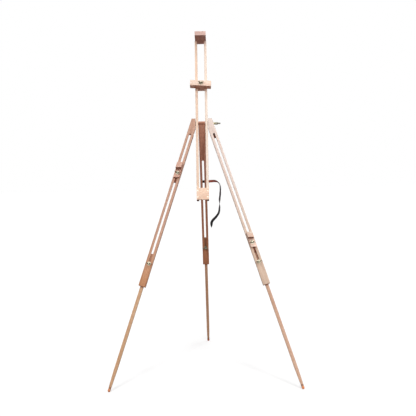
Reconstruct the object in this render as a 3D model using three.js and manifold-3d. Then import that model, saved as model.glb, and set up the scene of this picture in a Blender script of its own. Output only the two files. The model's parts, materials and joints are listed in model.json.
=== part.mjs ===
// A folding wooden field easel: a slotted mast, two front legs and a rear leg on one head bolt,
// telescoping lower legs, two canvas pegs, a sliding top clamp and a tying strap.
// Millimetres, +Z up. The front faces -Y, and left is -X, as a painter in front of it sees it.
// The origin is on the floor, in the middle of the space that the easel takes up.
import * as THREE from 'three';
import { mergeVertices } from 'three/addons/utils/BufferGeometryUtils.js';
import Module from 'manifold-3d';

const wasm = await Module();
wasm.setup();

const rad = THREE.MathUtils.degToRad;
const QUARTER = Math.PI / 2;

// ---------------------------------------------------------------- driving dimensions
const FIT = 0.3; // gap between pieces that touch or slide on each other
const HOLE_FIT = 0.3; // gap round a bolt in its hole
const EDGE = 1; // chamfer along the long edges of the wood
const PAST = 5; // how far a cutting tool runs past the face that it cuts

// How the easel stands.
const LEAN = rad(16); // the mast and the front legs lean back
const SPLAY = rad(17.5); // each front leg swings out from the mast
const REAR_SWING = rad(26.5); // the rear leg reaches back

// The mast: two rails with an open gap between them.
const RAIL_WIDTH = 12;
const RAIL_DEPTH = 26;
const RAIL_GAP = 36;
const MAST_ABOVE = 445; // the rails above the head bolt
const MAST_BELOW = 399; // the rails below it
const SLOT_FROM_TOP = 45; // the head bolt's slot through the sides of the rails
const SLOT_FROM_BOTTOM = 73;
const BOLT_SETBACK = 16; // from the front of the rails back to the head bolt's axis
const BOARD_HEIGHT = 59; // across the front of the rails' lower ends
const BOARD_THICK = 8.5;
const CAP_WIDTH = 56;
const CAP_THICK = 22;
const CAP_REACH = 64; // the cap's overhang in front of the rails
const CAP_BACK = 11; // and behind them

// The sliding clamp for the canvas's top edge.
const CLAMP_Z = 196.5; // its middle above the head bolt
const CLAMP_BAR_WIDTH = 105;
const CLAMP_BAR_DEPTH = 40;
const CLAMP_HEIGHT = 28;
const CLAMP_BAR_SHIFT = -2.2; // the bar sits a little to the left and askew on its bolt
const CLAMP_BAR_TURN = rad(4);
const CLAMP_PLATE_WIDTH = 58;
const CLAMP_PLATE_HEIGHT = 26;
const CLAMP_PLATE_THICK = 8;

// The head.
const HEAD_BOLT_R = 4;
const HEAD_BOLT_END = 94; // the threaded end stands out this far to the right
const HEAD_BOLT_HEAD_R = 5.8;
const HEAD_BOLT_HEAD_THICK = 3.6;
const HEAD_RECESS = 4.5; // for the bolt's head, in the left cheek
const HEAD_WASHER_R = 7; // it stays behind the front legs' thin tops
const SPACER_R = 5.6;
const SPACER_LENGTH = 9; // it holds the wing nut clear of the right leg
const HEAD_NUT_TURN = rad(20); // its wings lie about level, from front to back
const TILT_WASHER_R = 11;
const TILT_WASHER_THICK = 1;
const CHEEK_WIDTH = 25; // between the tilt washer and the bolt's head or nut
const CHEEK_TOP_WIDTH = 20;
const CHEEK_FLAT = 9; // half the height of its flat seat for the nut's washer
const CHEEK_BELOW_PIN = 24;
const CHEEK_CLEAR = 1.5; // it stays this far inside the leg's edges
const HEAD_TOP = 23; // the front legs' tops above the head bolt
const PIN_DROP = 26.7; // from the head bolt down to the leg's hinge screw
const PIN_R = 3;
const PIN_HEAD_R = 6;
const PIN_HEAD_THICK = 3;
const PIN_COVER = 2.5; // wood left in front of the hinge screw's point

// A leg's upper part: a slotted front web, with a groove behind it for the lower leg.
const LEG_WIDTH = 34;
const LEG_DEPTH = 24;
const LEG_SETBACK = 0.5; // the front legs' faces behind the mast's
const LOWER_SIZE = 15.6; // the square lower leg
const SLOT_WIDTH = 10;
const LAP_THICK = 8; // what is left of a front leg where it lies over its cheek
const SHOULDER = 31.5; // from the hinge screw down to the end of the lap
const FRONT_SLOT_TOP = 31.5; // from the hinge screw
const POCKET_LENGTH = 20; // the right slot starts as a pocket that doesn't go through
const POCKET_DEPTH = 14;
const FRONT_END = 827; // from the hinge screw to the upper leg's lower end
const REAR_SLOT_TOP = 200; // from the head bolt
const REAR_GROOVE_TOP = 150;
const REAR_END = 842;
const LOCK_RISE = 113; // the lower leg's bolt above the upper leg's lower end
const LOWER_HEAD = 50.7; // the lower leg above its bolt
const STRIP_LENGTH = 60; // the strip that closes the groove behind the lower end
const STRIP_THICK = 4;

// The feet.
const FRONT_REACH = 1331; // from the hinge screw to the middle of the tip's round end
const FOOT_TAPER = 24;
const FOOT_SIZE = 11; // the square end of the wood
const TIP_R = 6.5;
const TIP_LENGTH = 17; // from the wood to the middle of the round end
const SPIGOT_R = 4;
const SPIGOT_LENGTH = 9;

// The canvas pegs, measured down the leg from the hinge screw.
const PEG_WIDTH = 27;
const PEG_LENGTH = 71;
const PEG_LEDGE = 27.5; // height of the ledge that the canvas stands on
const PEG_REACH = 44; // the ledge's front, from the leg's face
const PEG_BODY = 12; // thickness below the ledge
const PEG_BOLT_DROP = 48; // from the peg's top to its bolt
const PEG_LEFT_TOP = 198;
const SLIDE_SHORT = 4; // the slide block starts below the peg's top
const SLIDE_LONG = 23; // and ends below the peg's lower end
const SLIDE_DEPTH = 11.5;
const TONGUE_FIT = 0.5; // each side of a tongue in its slot

// The small bolts of the legs, the pegs and the clamp.
const BOLT_R = 3;
const BOLT_HEAD_R = 5.5;
const BOLT_HEAD_THICK = 3;
const BOLT_RECESS = 3.5; // for the bolt's head, in the back of the lower leg
const WASHER_R = 9;
const WASHER_THICK = 1.4;
const NUT_PAST = 3; // the bolt's end past the wing nut

// Wing nuts: the hub, and two wings that start part of the way up it.
const SMALL_NUT = { hubR: 5.5, height: 10, wingStart: 2, reach: 15, rise: 16, lobe: 5, thick: 2.4 };
const HEAD_NUT = { hubR: 6.8, height: 14, wingStart: 9, reach: 30, rise: 25, lobe: 7, thick: 3 };

// Wood screws: in the cap, in the bottom board and through the strap.
const CAP_SCREW = { r: 2.2, headR: 4.5, head: 3, length: 46 };
const BOARD_SCREW = { r: 1.5, headR: 3.2, head: 2, length: 24 };
const BOARD_SCREW_INSET = 14; // from the board's upper and lower edges

// The tying strap, a flat leather strap screwed to the back of the rear leg.
const STRAP_WIDTH = 15;
const STRAP_THICK = 2.4;
const STRAP_DROP = 334; // from the head bolt down the rear leg to its screw
const STRAP_STEPS = 60;
const STRAP_SCREW = { r: 1.5, headR: 3.4, head: 1.6, length: 12 };
// Its middle line from the screw, right, back and up, and the turn of its width about that line:
// at 0 the flat of the strap faces forwards, at -90 its edge does, and at -180 its other face.
const STRAP_ROUTE = [
  [-5, 1.4, 0.7, -26.5],
  [12, 1.4, 0.7, -26.5],
  [30, 1.4, 0.7, -26.5],
  [52, 3, 2, -36],
  [72, 4, 2, -48],
  [88, 5, -4, -84],
  [97, 6, -16, -90],
  [100, 7, -32, -74],
  [99, 7, -62, -68],
  [95, 7, -98, -70],
  [94, 7, -135, -92],
  [89, 7, -166, -128],
  [73, 7, -189, -150],
  [60, 7, -202, -158],
  [51, 7, -215, -162],
  [49, 7, -244, -165],
];

// ---------------------------------------------------------------- sizes that follow from them
const HALF_MAST = RAIL_GAP / 2 + RAIL_WIDTH;
const RAIL_X = (RAIL_GAP + RAIL_WIDTH) / 2;
const MAST_FRONT = -BOLT_SETBACK;
const MAST_BACK = MAST_FRONT + RAIL_DEPTH;
const RAIL_SLOT_TOP = MAST_ABOVE - SLOT_FROM_TOP;
const RAIL_SLOT_BOTTOM = MAST_BELOW - SLOT_FROM_BOTTOM;
const CHEEK_IN = HALF_MAST + TILT_WASHER_THICK + 2 * FIT;
const CHEEK_OUT = CHEEK_IN + CHEEK_WIDTH;
const LEG_FRONT = MAST_FRONT + LEG_SETBACK;
const PIN_X = CHEEK_IN + LEG_WIDTH / 2;
const CHEEK_FRONT = LEG_FRONT + LAP_THICK + FIT;
const GROOVE_WIDTH = LOWER_SIZE + 2 * FIT;
const WEB = LEG_DEPTH - LOWER_SIZE - 2 * FIT;
const LOWER_BACK = WEB + FIT + LOWER_SIZE;
const LOWER_AXIS = WEB + FIT + LOWER_SIZE / 2; // the lower leg's middle behind the leg's face
const FRONT_LOCK = FRONT_END - LOCK_RISE;
const REAR_LOCK = REAR_END - LOCK_RISE;
const STRAP_SCREW_X = -(LEG_WIDTH + GROOVE_WIDTH) / 4; // in the middle of the groove's left side
const PEG_RIGHT_TOP = FRONT_LOCK - LOWER_HEAD - FIT - SLIDE_LONG - PEG_LENGTH;

// The head bolt's height over the floor follows from the front legs.
const PIN_TO_FLOOR = PIN_DROP + FRONT_REACH * Math.cos(SPLAY);
const FRONT_FOOT_Y = LEG_FRONT + LOWER_AXIS;
const HEAD_Z = PIN_TO_FLOOR * Math.cos(LEAN) + FRONT_FOOT_Y * Math.sin(LEAN) + TIP_R;
const REAR_AXIS_Y = LOWER_AXIS - LEG_DEPTH / 2;
const REAR_REACH = (HEAD_Z - TIP_R + REAR_AXIS_Y * Math.sin(REAR_SWING)) / Math.cos(REAR_SWING);

// ---------------------------------------------------------------- materials
const WOOD = { roughness: 0.62, metalness: 0 };
const mastWood = new THREE.MeshStandardMaterial({ color: '#f1d3bd', ...WOOD });
const legWood = new THREE.MeshStandardMaterial({ color: '#dcb394', ...WOOD });
const lowerWood = new THREE.MeshStandardMaterial({ color: '#c0946f', ...WOOD });
const rearWood = new THREE.MeshStandardMaterial({ color: '#a5745a', ...WOOD });
const blockWood = new THREE.MeshStandardMaterial({ color: '#d9a98c', ...WOOD });
const zinc = new THREE.MeshStandardMaterial({ color: '#b7b59c', roughness: 0.35, metalness: 0.9 });
const brass = new THREE.MeshStandardMaterial({ color: '#a89a5e', roughness: 0.4, metalness: 0.9 });
const fibre = new THREE.MeshStandardMaterial({ color: '#4a4038', roughness: 0.8, metalness: 0 });
const tipPlastic = new THREE.MeshStandardMaterial({ color: '#e0875a', roughness: 0.5, metalness: 0 });
const leather = new THREE.MeshStandardMaterial({ color: '#3a2226', roughness: 0.55, metalness: 0 });

// ---------------------------------------------------------------- solids
function toSolid(geometry) {
  geometry.deleteAttribute('normal');
  geometry.deleteAttribute('uv');
  const merged = mergeVertices(geometry);
  const vertProperties = new Float32Array(merged.getAttribute('position').array);
  const triVerts = new Uint32Array(merged.getIndex().array);
  return new wasm.Manifold(new wasm.Mesh({ numProp: 3, vertProperties, triVerts }));
}

function toGeometry(solid) {
  const mesh = solid.getMesh();
  const geometry = new THREE.BufferGeometry();
  geometry.setAttribute('position', new THREE.BufferAttribute(mesh.vertProperties, 3));
  geometry.setIndex(new THREE.BufferAttribute(mesh.triVerts, 1));
  return geometry;
}

function cut(body, ...tools) {
  return toGeometry(tools.reduce((solid, tool) => solid.subtract(toSolid(tool)), toSolid(body)));
}

function join(body, ...others) {
  return toGeometry(others.reduce((solid, other) => solid.add(toSolid(other)), toSolid(body)));
}

function overlap(body, tool) {
  return toGeometry(toSolid(body).intersect(toSolid(tool)));
}

// A block between two corners.
function block(x0, x1, y0, y1, z0, z1) {
  const geometry = new THREE.BoxGeometry(x1 - x0, y1 - y0, z1 - z0);
  return geometry.translate((x0 + x1) / 2, (y0 + y1) / 2, (z0 + z1) / 2);
}

function extruded(outline, depth) {
  return new THREE.ExtrudeGeometry(outline, { depth, bevelEnabled: false, curveSegments: 8 });
}

// A shape drawn in the XZ plane, made solid from y0 back to y1.
function uprightPlate(outline, y0, y1) {
  return extruded(outline, y1 - y0).rotateX(QUARTER).translate(0, y1, 0);
}

// A length of wood along Z with chamfered long edges, from y = 0 backwards.
function timber(width, depth, z0, z1) {
  const w = width / 2;
  const outline = new THREE.Shape();
  outline.moveTo(-w + EDGE, 0);
  outline.lineTo(w - EDGE, 0);
  outline.lineTo(w, EDGE);
  outline.lineTo(w, depth - EDGE);
  outline.lineTo(w - EDGE, depth);
  outline.lineTo(-w + EDGE, depth);
  outline.lineTo(-w, depth - EDGE);
  outline.lineTo(-w, EDGE);
  outline.closePath();
  return extruded(outline, z1 - z0).translate(0, 0, z0);
}

// Round bars, each along its own axis between two places on it.
function barZ(radius, z0, z1, topRadius = radius) {
  const geometry = new THREE.CylinderGeometry(topRadius, radius, z1 - z0, 20);
  return geometry.rotateX(QUARTER).translate(0, 0, (z0 + z1) / 2);
}

function barY(radius, y0, y1, x = 0, z = 0) {
  return barZ(radius, -y1, -y0).rotateX(QUARTER).translate(x, 0, z);
}

function barX(radius, x0, x1) {
  return barZ(radius, x0, x1).rotateY(QUARTER);
}

// A slot with round ends in the XZ plane, cut through along Y.
function slotTool(width, z0, z1, y0, y1) {
  const r = width / 2;
  const outline = new THREE.Shape();
  outline.moveTo(r, z0 + r);
  outline.lineTo(r, z1 - r);
  outline.absarc(0, z1 - r, r, 0, Math.PI, false);
  outline.lineTo(-r, z0 + r);
  outline.absarc(0, z0 + r, r, Math.PI, 2 * Math.PI, false);
  return uprightPlate(outline, y0, y1);
}

function place(group, name, geometry, material, x = 0, y = 0, z = 0) {
  const mesh = new THREE.Mesh(geometry, material);
  geometry.computeVertexNormals();
  mesh.name = name;
  mesh.position.set(x, y, z);
  group.add(mesh);
  return mesh;
}

function groupAt(parent, x, y, z) {
  const group = new THREE.Group();
  group.position.set(x, y, z);
  parent.add(group);
  return group;
}

// ---------------------------------------------------------------- hardware
// These are made along Z with their seat at z = 0, and turned to where they point.
function wingNut(size, boltR) {
  const wing = new THREE.Shape();
  const lobeX = size.reach - size.lobe;
  const lobeZ = size.rise - size.lobe;
  const slant = size.lobe * Math.SQRT1_2;
  wing.moveTo(0, size.wingStart);
  wing.lineTo(size.hubR, size.wingStart);
  wing.lineTo(lobeX + slant, lobeZ - slant);
  wing.absarc(lobeX, lobeZ, size.lobe, -Math.PI / 4, 0.75 * Math.PI, false);
  wing.lineTo(size.hubR / 2, size.height * 0.9);
  wing.lineTo(0, size.height * 0.9);
  wing.closePath();
  const right = uprightPlate(wing, -size.thick / 2, size.thick / 2);
  const left = right.clone().rotateZ(Math.PI);
  const hub = barZ(size.hubR, 0, size.height, size.hubR * 0.8);
  return cut(join(hub, right, left), barZ(boltR + HOLE_FIT, -PAST, size.rise + PAST));
}

function tube(outerR, innerR, length) {
  return cut(barZ(outerR, 0, length), barZ(innerR, -PAST, length + PAST));
}

function washer(radius, boltR, thick = WASHER_THICK) {
  return tube(radius, boltR + HOLE_FIT, thick);
}

// A low domed head below z = 0, and a shank up to the given length.
function bolt(boltR, headR, headThick, length) {
  const rim = barZ(headR, -headThick / 2, 0);
  const dome = barZ(headR * 0.6, -headThick, -headThick / 2, headR);
  return join(barZ(boltR, -headThick / 2, length), rim, dome);
}

// A countersunk wood screw, its flat head at z = 0 and its shank below.
function woodScrew(size) {
  return join(barZ(size.r, -size.length, 0), barZ(size.r, -size.head, 0, size.headR));
}

function woodScrewHole(size) {
  const shank = barZ(size.r + FIT, -size.length - FIT, PAST);
  const sink = barZ(size.r + FIT, -size.head - FIT, FIT, size.headR + 2 * FIT);
  return join(shank, sink);
}

function placeForward(group, name, geometry, x, y, z, material = zinc) {
  return place(group, name, geometry.rotateX(QUARTER), material, x, y, z);
}

// A bolt from its head at the back to a washer and a wing nut on the front face.
function fasten(group, prefix, x, z, headY, faceY) {
  const nutY = faceY - FIT - WASHER_THICK - FIT;
  const length = headY - nutY + SMALL_NUT.height + NUT_PAST;
  const boltShape = bolt(BOLT_R, BOLT_HEAD_R, BOLT_HEAD_THICK, length);
  placeForward(group, `${prefix}_bolt`, boltShape, x, headY, z);
  placeForward(group, `${prefix}_washer`, washer(WASHER_R, BOLT_R), x, faceY - FIT, z);
  placeForward(group, `${prefix}_wing_nut`, wingNut(SMALL_NUT, BOLT_R), x, nutY, z);
}

// ---------------------------------------------------------------- mast
function rail(screwZ) {
  const wood = timber(RAIL_WIDTH, RAIL_DEPTH, -MAST_BELOW, MAST_ABOVE).translate(0, MAST_FRONT, 0);
  const slotWidth = 2 * (HEAD_BOLT_R + HOLE_FIT);
  const slot = slotTool(slotWidth, -RAIL_SLOT_BOTTOM, RAIL_SLOT_TOP, -RAIL_WIDTH, RAIL_WIDTH);
  const capTop = MAST_ABOVE + FIT + CAP_THICK;
  const capHole = woodScrewHole(CAP_SCREW).translate(0, MAST_FRONT + RAIL_DEPTH / 2, capTop);
  const boardFront = MAST_FRONT - FIT - BOARD_THICK;
  const boardHoles = screwZ.map((z) =>
    woodScrewHole(BOARD_SCREW).rotateX(QUARTER).translate(0, boardFront, z));
  return cut(wood, slot.rotateZ(QUARTER), capHole, ...boardHoles);
}

function topCap() {
  const back = RAIL_DEPTH + CAP_BACK;
  const wood = block(-CAP_WIDTH / 2, CAP_WIDTH / 2, -CAP_REACH, back, 0, CAP_THICK);
  const holes = [-RAIL_X, RAIL_X].map((x) =>
    woodScrewHole(CAP_SCREW).translate(x, RAIL_DEPTH / 2, CAP_THICK));
  return cut(wood, ...holes);
}

function buildMast(head) {
  const boardBottom = -MAST_BELOW;
  const boardTop = boardBottom + BOARD_HEIGHT;
  const boardFront = MAST_FRONT - FIT - BOARD_THICK;
  const screwZ = [boardTop - BOARD_SCREW_INSET, boardBottom + BOARD_SCREW_INSET];
  const capZ = MAST_ABOVE + FIT;
  const board = block(-HALF_MAST, HALF_MAST, 0, BOARD_THICK, boardBottom, boardTop);
  const boardHoles = [-RAIL_X, RAIL_X].flatMap((x) => screwZ.map((z) =>
    woodScrewHole(BOARD_SCREW).rotateX(QUARTER).translate(x, 0, z)));
  place(head, 'mast_bottom_board', cut(board, ...boardHoles), mastWood, 0, boardFront);
  place(head, 'mast_top_cap', topCap(), blockWood, 0, MAST_FRONT, capZ);
  for (const [side, x] of [['left', -RAIL_X], ['right', RAIL_X]]) {
    const screwY = MAST_FRONT + RAIL_DEPTH / 2;
    place(head, `mast_rail_${side}`, rail(screwZ), mastWood, x);
    place(head, `cap_screw_${side}`, woodScrew(CAP_SCREW), zinc, x, screwY, capZ + CAP_THICK);
    placeForward(head, `board_screw_${side}_upper`, woodScrew(BOARD_SCREW), x, boardFront, screwZ[0]);
    placeForward(head, `board_screw_${side}_lower`, woodScrew(BOARD_SCREW), x, boardFront, screwZ[1]);
  }
}

// ---------------------------------------------------------------- clamp
function buildClamp(head) {
  const clamp = groupAt(head, 0, MAST_FRONT, CLAMP_Z);
  const half = CLAMP_HEIGHT / 2;
  const hole = BOLT_R + HOLE_FIT;
  const barFront = -FIT - CLAMP_BAR_DEPTH;
  const plateFront = RAIL_DEPTH + FIT;
  const plateBack = plateFront + CLAMP_PLATE_THICK;
  const plateX = CLAMP_PLATE_WIDTH / 2;
  const plateZ = CLAMP_PLATE_HEIGHT / 2;
  const tongueX = RAIL_GAP / 2 - TONGUE_FIT;
  const barX0 = CLAMP_BAR_SHIFT - CLAMP_BAR_WIDTH / 2;
  const wood = block(barX0, barX0 + CLAMP_BAR_WIDTH, barFront, -FIT, -half, half);
  const bar = place(clamp, 'clamp_bar', cut(wood, barY(hole, barFront - PAST, PAST)), blockWood);
  bar.rotation.y = CLAMP_BAR_TURN;
  const guide = join(
    block(-tongueX, tongueX, FIT, plateFront + FIT, -half, half),
    block(-plateX, plateX, plateFront, plateBack, -plateZ, plateZ));
  place(clamp, 'clamp_guide', cut(guide, barY(hole, -PAST, plateBack + PAST)), blockWood);
  fasten(clamp, 'clamp', 0, 0, plateBack + FIT, barFront);
}

// ---------------------------------------------------------------- head
// The cheek that a front leg lies over, seen from the front. Below, it narrows to stay behind the leg.
function cheekOutline(side) {
  const bottom = -PIN_DROP - CHEEK_BELOW_PIN;
  const legMiddle = PIN_X + CHEEK_BELOW_PIN * Math.tan(SPLAY);
  const halfHidden = LEG_WIDTH / 2 / Math.cos(SPLAY) - CHEEK_CLEAR;
  const narrowing = (legMiddle - halfHidden - CHEEK_IN) / Math.tan(SPLAY);
  const outline = new THREE.Shape();
  outline.moveTo(side * CHEEK_IN, bottom + narrowing);
  outline.lineTo(side * (legMiddle - halfHidden), bottom);
  outline.lineTo(side * (legMiddle + halfHidden), bottom);
  outline.lineTo(side * CHEEK_OUT, -CHEEK_FLAT);
  outline.lineTo(side * CHEEK_OUT, CHEEK_FLAT);
  outline.lineTo(side * (CHEEK_IN + CHEEK_TOP_WIDTH), HEAD_TOP);
  outline.lineTo(side * CHEEK_IN, HEAD_TOP);
  outline.closePath();
  return outline;
}

function cheek(side) {
  const reach = CHEEK_OUT + PAST;
  const pinHole = barY(PIN_R + HOLE_FIT, CHEEK_FRONT - PAST, MAST_BACK + PAST, side * PIN_X, -PIN_DROP);
  const tools = [barX(HEAD_BOLT_R + HOLE_FIT, -reach, reach), pinHole];
  if (side < 0) {
    tools.push(barX(HEAD_BOLT_HEAD_R + HOLE_FIT, -reach, HEAD_RECESS - CHEEK_OUT));
  }
  return cut(uprightPlate(cheekOutline(side), CHEEK_FRONT, MAST_BACK), ...tools);
}

function buildHead(head) {
  place(head, 'cheek_left', cheek(-1), rearWood);
  place(head, 'cheek_right', cheek(1), rearWood);
  const boltX = HEAD_RECESS - CHEEK_OUT - FIT;
  const headBolt = bolt(HEAD_BOLT_R, HEAD_BOLT_HEAD_R, HEAD_BOLT_HEAD_THICK, HEAD_BOLT_END - boltX);
  place(head, 'head_bolt', headBolt.rotateY(QUARTER), zinc, boltX);
  for (const [side, x] of [['left', -HALF_MAST - FIT - TILT_WASHER_THICK], ['right', HALF_MAST + FIT]]) {
    const disc = washer(TILT_WASHER_R, HEAD_BOLT_R, TILT_WASHER_THICK);
    place(head, `tilt_washer_${side}`, disc.rotateY(QUARTER), fibre, x);
  }
  const washerX = CHEEK_OUT + FIT;
  const spacerX = washerX + WASHER_THICK + FIT;
  const nutX = spacerX + SPACER_LENGTH + FIT;
  const sleeve = tube(SPACER_R, HEAD_BOLT_R + HOLE_FIT, SPACER_LENGTH);
  place(head, 'head_washer', washer(HEAD_WASHER_R, HEAD_BOLT_R).rotateY(QUARTER), zinc, washerX);
  place(head, 'head_spacer', sleeve.rotateY(QUARTER), brass, spacerX);
  const nut = wingNut(HEAD_NUT, HEAD_BOLT_R).rotateZ(QUARTER).rotateY(QUARTER).rotateX(HEAD_NUT_TURN);
  place(head, 'head_wing_nut', nut, zinc, nutX);
}

// ---------------------------------------------------------------- legs
// The slot and the groove of an upper leg, z = 0 being where it turns on the head.
function upperLeg(wood, end, slotTop, grooveTop, lock) {
  const slotBottom = lock + BOLT_R + FIT;
  const slot = slotTool(SLOT_WIDTH, -slotBottom, -slotTop, -PAST, LEG_DEPTH);
  const half = GROOVE_WIDTH / 2;
  const groove = block(-half, half, WEB, LEG_DEPTH + PAST, -end - PAST, -grooveTop);
  return cut(wood, slot, groove);
}

// A front leg's top is halved to lie over its cheek, cut level, and trimmed along the mast.
function frontUpperLeg(side) {
  const top = HEAD_TOP + PIN_DROP + LEG_WIDTH;
  const pocketLength = side > 0 ? POCKET_LENGTH : 0;
  const slotTop = FRONT_SLOT_TOP + pocketLength;
  const whole = timber(LEG_WIDTH, LEG_DEPTH, -FRONT_END, top);
  const wood = upperLeg(whole, FRONT_END, slotTop, slotTop, FRONT_LOCK);
  const pocket = slotTool(SLOT_WIDTH, -slotTop - SLOT_WIDTH, -FRONT_SLOT_TOP, -PAST, POCKET_DEPTH);
  const lap = block(-LEG_WIDTH, LEG_WIDTH, LAP_THICK, LEG_DEPTH + PAST, -SHOULDER, top + PAST);
  const pinHole = barY(PIN_R + HOLE_FIT, PIN_COVER, LEG_DEPTH);
  const level = block(-LEG_WIDTH * 2, LEG_WIDTH * 2, -PAST, LEG_DEPTH + PAST,
    HEAD_TOP + PIN_DROP, top * 2);
  const inner = -side * LEG_WIDTH / 2;
  const beyond = -side * LEG_WIDTH * 2;
  const trim = block(Math.min(inner, beyond), Math.max(inner, beyond), -PAST, LEG_DEPTH + PAST,
    -SHOULDER, top * 2);
  return cut(wood, pocket, lap, pinHole, level.rotateY(side * SPLAY), trim.rotateY(side * SPLAY));
}

// The rear leg's top is rounded about the head bolt.
function rearUpperLeg() {
  const r = LEG_DEPTH / 2;
  const straight = block(-LEG_WIDTH, LEG_WIDTH, -PAST, LEG_DEPTH + PAST, -REAR_END - PAST, 0);
  const roundTop = barX(r, -LEG_WIDTH, LEG_WIDTH).translate(0, r, 0);
  const whole = overlap(timber(LEG_WIDTH, LEG_DEPTH, -REAR_END, r), join(straight, roundTop));
  const wood = upperLeg(whole, REAR_END, REAR_SLOT_TOP, REAR_GROOVE_TOP, REAR_LOCK);
  const boltHole = barX(HEAD_BOLT_R + HOLE_FIT, -LEG_WIDTH, LEG_WIDTH).translate(0, LEG_DEPTH / 2, 0);
  const screwY = LEG_DEPTH + STRAP_THICK + 2 * FIT;
  const strapHole = woodScrewHole(STRAP_SCREW).rotateX(-QUARTER);
  return cut(wood, boltHole, strapHole.translate(STRAP_SCREW_X, screwY, -STRAP_DROP));
}

// The square lower leg, its top at z = 0, with a tapered foot that the tip's spigot plugs into.
function lowerLeg(length) {
  const wood = timber(LOWER_SIZE, LOWER_SIZE, -length, 0).translate(0, -LOWER_SIZE / 2, 0);
  const taperTop = LOWER_SIZE / 2 * Math.SQRT2;
  const taperEnd = FOOT_SIZE / 2 * Math.SQRT2;
  const foot = new THREE.CylinderGeometry(taperTop, taperEnd, FOOT_TAPER, 4);
  foot.rotateY(Math.PI / 4).rotateX(QUARTER).translate(0, 0, FOOT_TAPER / 2 - length);
  const shank = block(-LOWER_SIZE, LOWER_SIZE, -LOWER_SIZE, LOWER_SIZE, FOOT_TAPER - length, PAST);
  const socket = barZ(SPIGOT_R + FIT, -length - PAST, SPIGOT_LENGTH + FIT - length);
  const boltHole = barY(BOLT_R + HOLE_FIT, -LOWER_SIZE, LOWER_SIZE, 0, -LOWER_HEAD);
  const recess = barY(BOLT_HEAD_R + HOLE_FIT, LOWER_SIZE / 2 - BOLT_RECESS, LOWER_SIZE, 0, -LOWER_HEAD);
  return cut(overlap(wood, join(shank, foot)), socket, boltHole, recess);
}

function tip() {
  const profile = new THREE.Path();
  profile.moveTo(0, -TIP_LENGTH - TIP_R);
  profile.absarc(0, -TIP_LENGTH, TIP_R, -QUARTER, 0, false);
  profile.lineTo(TIP_R, 0);
  profile.lineTo(SPIGOT_R, 0);
  profile.lineTo(SPIGOT_R, SPIGOT_LENGTH);
  profile.lineTo(0, SPIGOT_LENGTH);
  return new THREE.LatheGeometry(profile.getPoints(6), 20).rotateX(QUARTER);
}

// What each leg carries: its lower leg with the tip, the lock, and the strip behind the groove.
function buildLegParts(leg, side, end, lock, reach) {
  const lowerTop = LOWER_HEAD - lock;
  const length = reach + lowerTop - TIP_LENGTH - FIT;
  const strip = block(-LEG_WIDTH / 2, LEG_WIDTH / 2, 0, STRIP_THICK, -end, STRIP_LENGTH - end);
  place(leg, `${side}_back_strip`, strip, rearWood, 0, LEG_DEPTH + FIT);
  place(leg, `${side}_lower_leg`, lowerLeg(length), lowerWood, 0, LOWER_AXIS, lowerTop);
  place(leg, `${side}_foot_tip`, tip(), tipPlastic, 0, LOWER_AXIS, TIP_LENGTH - reach);
  fasten(leg, `${side}_lock`, 0, -lock, LOWER_BACK - BOLT_RECESS + FIT, 0);
}

// ---------------------------------------------------------------- canvas pegs
// A block whose sides follow the leg and whose ends are level when the leg is splayed.
function levelBlock(sign, width, y0, y1, z0, z1) {
  const half = width / 2;
  const fall = sign * half * Math.tan(SPLAY);
  const outline = new THREE.Shape();
  outline.moveTo(-half, z0 + fall);
  outline.lineTo(half, z0 - fall);
  outline.lineTo(half, z1 - fall);
  outline.lineTo(-half, z1 + fall);
  outline.closePath();
  return uprightPlate(outline, y0, y1);
}

function buildPeg(leg, side, sign, top) {
  const peg = groupAt(leg, 0, 0, -top);
  const tongueX = SLOT_WIDTH / 2 - TONGUE_FIT;
  const slideX = LOWER_SIZE / 2;
  const slideTop = -SLIDE_SHORT;
  const slideEnd = -PEG_LENGTH - SLIDE_LONG;
  const slideBack = WEB + FIT + SLIDE_DEPTH;
  const hole = barY(BOLT_R + HOLE_FIT, -PEG_REACH, LEG_DEPTH, 0, -PEG_BOLT_DROP);
  const wood = join(
    levelBlock(sign, PEG_WIDTH, -PEG_REACH, -FIT, -PEG_LEDGE, 0),
    levelBlock(sign, PEG_WIDTH, -PEG_BODY, -FIT, -PEG_LENGTH, -PEG_LEDGE / 2));
  const slide = join(
    block(-tongueX, tongueX, 0, WEB + FIT * 2, slideEnd, slideTop),
    block(-slideX, slideX, WEB + FIT, slideBack, slideEnd, slideTop));
  place(peg, `${side}_peg`, cut(wood, hole), blockWood);
  place(peg, `${side}_peg_slide`, cut(slide, hole.clone()), rearWood);
  fasten(peg, `${side}_peg`, 0, -PEG_BOLT_DROP, slideBack + FIT, -PEG_BODY);
}

function buildFrontLeg(head, side, sign, pegTop) {
  const leg = groupAt(head, sign * PIN_X, LEG_FRONT, -PIN_DROP);
  leg.rotation.y = -sign * SPLAY;
  place(leg, `${side}_upper_leg`, frontUpperLeg(sign), legWood);
  const pinLength = MAST_BACK + FIT - LEG_FRONT - PIN_COVER - FIT;
  const pin = bolt(PIN_R, PIN_HEAD_R, PIN_HEAD_THICK, pinLength);
  placeForward(head, `${side}_hinge_screw`, pin, sign * PIN_X, MAST_BACK + FIT, -PIN_DROP);
  buildLegParts(leg, side, FRONT_END, FRONT_LOCK, FRONT_REACH);
  buildPeg(leg, side, sign, pegTop);
}

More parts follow.
